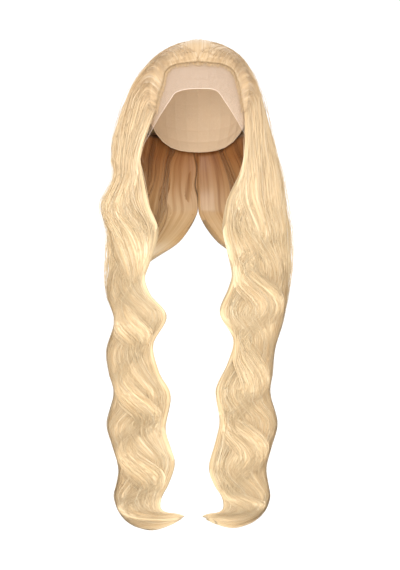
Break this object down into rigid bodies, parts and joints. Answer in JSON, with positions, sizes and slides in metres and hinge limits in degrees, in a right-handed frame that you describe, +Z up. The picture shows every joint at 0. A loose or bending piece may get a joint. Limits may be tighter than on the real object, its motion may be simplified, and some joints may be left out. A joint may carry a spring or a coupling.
{
  "type": "lace front wig",
  "caption": "Very long blond body-wave wig in its worn form: hair swept back from a sheer lace front, parted behind the neck and brought forward into two hanging wavy lengths.",
  "frame": {"origin": "top of the hollow that the head fills, on the inner side of the cap", "axes": "+Z up along the head and neck, -Y the way the face looks, +X towards the wearer's left, which is the right of a front view"},
  "size_m": [0.2795, 0.2075, 0.7323],
  "materials": {
    "blond_hair": "silky blond hair fibres with fine streaks from cream to gold",
    "shaded_hair": "the same hair, deeper and warmer where it lies behind the neck",
    "swiss_lace": "sheer beige hexagonal net, matt",
    "cap_net": "soft stretch net with sewn bands, matt"
  },
  "bodies": {
    "root": {"wig_cap": "cap_net", "lace_front": "swiss_lace", "crown_hair": "blond_hair", "left_lengths": "blond_hair", "right_lengths": "blond_hair", "left_nape_hair": "shaded_hair", "right_nape_hair": "shaded_hair"}
  },
  "joints": []
}
